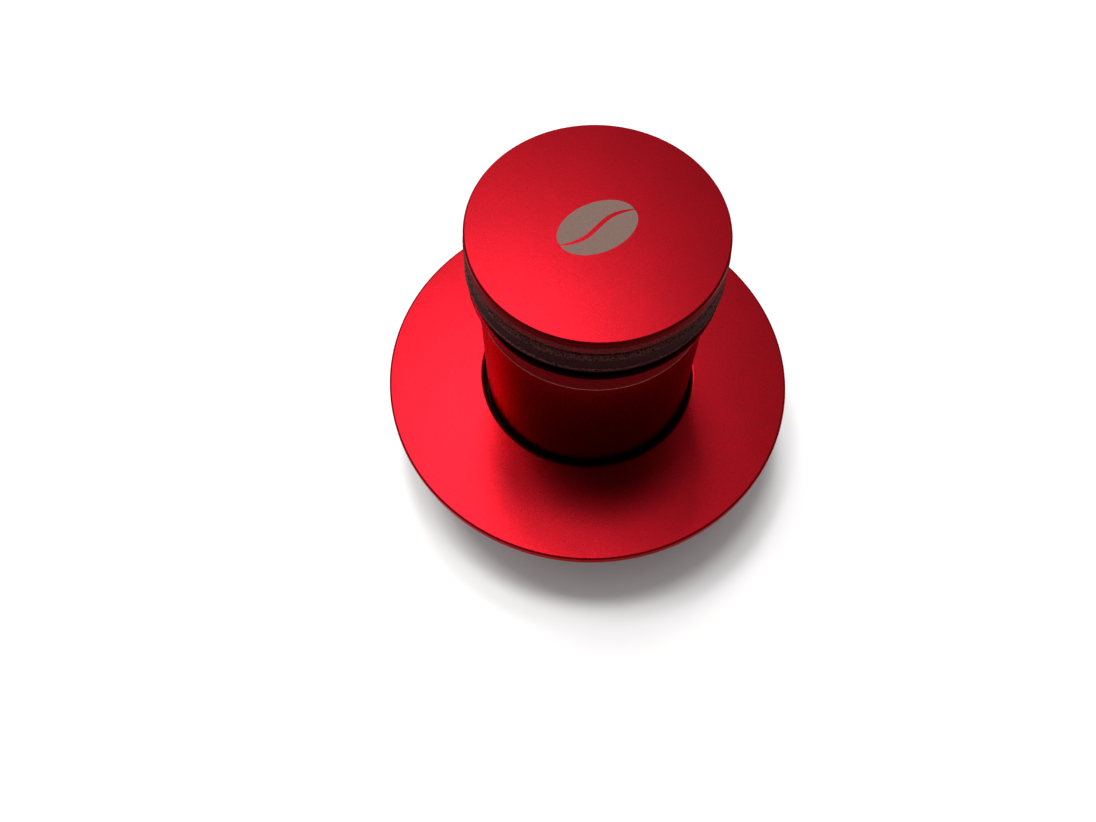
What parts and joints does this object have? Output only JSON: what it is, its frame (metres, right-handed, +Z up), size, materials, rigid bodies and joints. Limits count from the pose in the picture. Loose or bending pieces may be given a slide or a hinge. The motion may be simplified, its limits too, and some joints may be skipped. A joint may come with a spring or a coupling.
{
  "type": "espresso tamper",
  "caption": "Round espresso tamper with a flat palm cap, rubber grip rings, a straight cylindrical body, a wide levelling plate and a hidden spring impact mechanism.",
  "frame": {"origin": "centre of the tamping face, on the surface the tamper stands on", "axes": "+Z up along the tamper's axis of rotation, through the centre of the palm cap"},
  "size_m": [0.0824, 0.0824, 0.068],
  "materials": {
    "cap_anodised": "satin red anodised aluminium",
    "housing_anodised": "satin red anodised aluminium",
    "plate_anodised": "satin red anodised aluminium",
    "black_anodised": "black anodised aluminium",
    "grip_rubber": "matt black rubber",
    "polished_steel": "fine turned stainless steel",
    "hardened_steel": "ground hardened steel",
    "spring_steel": "drawn spring wire",
    "black_steel": "blackened steel",
    "bronze": "sintered bronze",
    "black_plastic": "matt black acetal",
    "seal_rubber": "black nitrile rubber",
    "plain_aluminium": "machined aluminium"
  },
  "bodies": {
    "foot": {"tamper_base": "polished_steel", "base_screws": "black_steel", "stem": "hardened_steel", "stem_circlip": "black_steel", "trigger_spring": "spring_steel", "return_spring": "spring_steel"},
    "handle": {"housing": "housing_anodised", "end_plug": "black_anodised", "guide_bush": "bronze", "wiper_seal": "seal_rubber", "stem_bumper": "seal_rubber", "cone_ring": "hardened_steel", "cone_circlip": "black_steel", "hammer_bumper": "seal_rubber", "seat_key_pins": "hardened_steel", "knob_snap_ring": "black_steel", "friction_washer": "black_plastic", "detent_ball": "hardened_steel", "detent_spring": "spring_steel", "plate_stop_ring": "black_steel"},
    "knob": {"knob_hub": "black_anodised", "top_cap": "cap_anodised", "cap_o_ring": "seal_rubber", "grip_ring_upper": "grip_rubber", "grip_ring_lower": "grip_rubber", "adjuster_screw": "hardened_steel", "knob_screws": "black_steel"},
    "seat": {"spring_seat": "plain_aluminium"},
    "striker": {"hammer": "hardened_steel", "main_spring": "spring_steel"},
    "trigger": {"trigger_pin": "hardened_steel"},
    "plate": {"levelling_plate": "plate_anodised", "plate_bush": "black_plastic"}
  },
  "joints": [
    {"name": "handle_press", "type": "slide", "parent": "foot", "child": "handle", "axis": [0, 0, -1], "range_m": [0, 0.006], "stiffness_N_per_m": 1500, "springref_m": -0.006, "deforming": ["return_spring"]},
    {"name": "knob_turn", "type": "hinge", "parent": "handle", "child": "knob", "pos_m": [0, 0, 0.06], "axis": [0, 0, -1], "range_deg": [-180, 720]},
    {"name": "seat_travel", "type": "slide", "parent": "handle", "child": "seat", "axis": [0, 0, -1], "range_m": [-0.00076, 0.00301]},
    {"name": "hammer_lift", "type": "slide", "parent": "handle", "child": "striker", "axis": [0, 0, 1], "range_m": [0, 0.006], "deforming": ["main_spring"]},
    {"name": "trigger_shift", "type": "slide", "parent": "foot", "child": "trigger", "axis": [1, 0, 0], "range_m": [0, 0.0012]},
    {"name": "plate_slide", "type": "slide", "parent": "handle", "child": "plate", "axis": [0, 0, 1], "range_m": [0, 0.012]}
  ],
  "couplings": [
    {"joint": "seat_travel", "follows": "knob_turn", "m_per_rad": 0.00023873},
    {"joint": "hammer_lift", "follows": "handle_press", "ratio": 1},
    {"joint": "trigger_shift", "follows": "handle_press", "ratio": 0.2}
  ]
}
